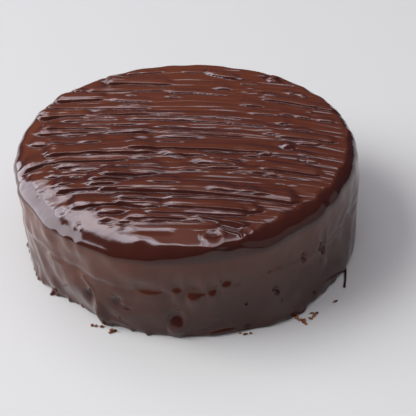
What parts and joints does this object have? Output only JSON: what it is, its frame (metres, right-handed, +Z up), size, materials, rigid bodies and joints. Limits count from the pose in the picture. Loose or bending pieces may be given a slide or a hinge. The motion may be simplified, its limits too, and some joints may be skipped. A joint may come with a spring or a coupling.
{
  "type": "sachertorte cake",
  "caption": "Round uncut chocolate cake under a glossy poured glaze, with palette-knife ridges across the top, a rolled shoulder and a wandering foot.",
  "frame": {"origin": "middle of the flat underside, on the surface that the cake stands on", "axes": "+Z up; the knife ridges run roughly along X, falling towards -Y at +X; the side with the folded run and the tongue of glaze faces -Y"},
  "size_m": [0.201, 0.2019, 0.061],
  "materials": {
    "glaze": "glossy set chocolate glaze, satin where the knife has drawn it"
  },
  "bodies": {
    "root": {"cake": "glaze"}
  },
  "joints": []
}
